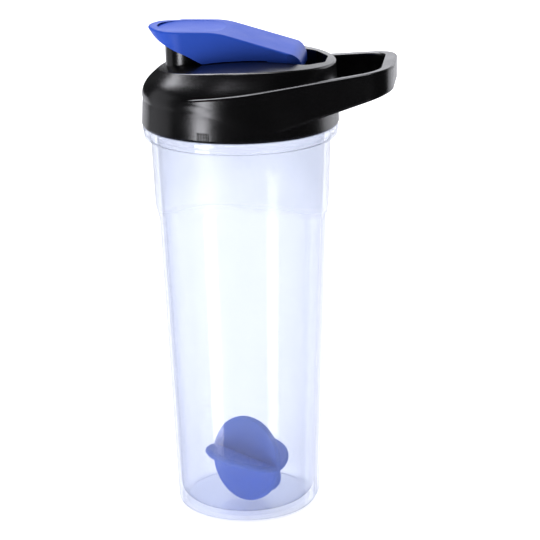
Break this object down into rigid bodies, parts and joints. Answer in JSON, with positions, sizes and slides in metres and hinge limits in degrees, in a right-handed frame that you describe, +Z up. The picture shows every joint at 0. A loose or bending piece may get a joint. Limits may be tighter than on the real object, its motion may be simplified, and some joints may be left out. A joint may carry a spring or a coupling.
{
  "type": "protein shaker bottle",
  "caption": "Tapered translucent cup with a threaded screw lid, carry loop, flip cap over the spout, sealing rings and a loose mixing ball inside.",
  "frame": {"origin": "centre of the base, on the surface the bottle stands on", "axes": "+Z up along the cup's axis, +X towards the carry loop and the cap's hinge, -X towards the spout"},
  "size_m": [0.1229, 0.0956, 0.243],
  "materials": {
    "cup": "translucent, polished below and frosted at the collar",
    "lid": "satin black with a fine texture",
    "cap": "satin blue",
    "seal": "soft, matte",
    "pin": "smooth",
    "gasket": "soft, matte",
    "ball": "smooth blue"
  },
  "bodies": {
    "cup_body": {"cup": "cup"},
    "gasket_body": {"lid_gasket": "gasket"},
    "lid_body": {"screw_lid": "lid", "hinge_pin": "pin"},
    "cap_body": {"flip_cap": "cap", "spout_seal": "seal"},
    "ball_body": {"mixing_ball": "ball"}
  },
  "joints": [
    {"name": "lid_rise", "type": "slide", "parent": "cup_body", "child": "gasket_body", "axis": [0, 0, 1], "range_m": [0, 0.0075]},
    {"name": "lid_turn", "type": "hinge", "parent": "gasket_body", "child": "lid_body", "pos_m": [0, 0, 0.212], "axis": [0, 0, 1], "range_deg": [0, 270]},
    {"name": "cap_swing", "type": "hinge", "parent": "lid_body", "child": "cap_body", "pos_m": [0.024, 0, 0.22525], "axis": [0, 1, 0], "range_deg": [0, 105]},
    {"name": "ball_lift", "type": "slide", "parent": "cup_body", "child": "ball_body", "axis": [0, 0, 1], "range_m": [0, 0.15]}
  ],
  "couplings": [
    {"joint": "lid_rise", "follows": "lid_turn", "m_per_rad": 0.0015915}
  ]
}
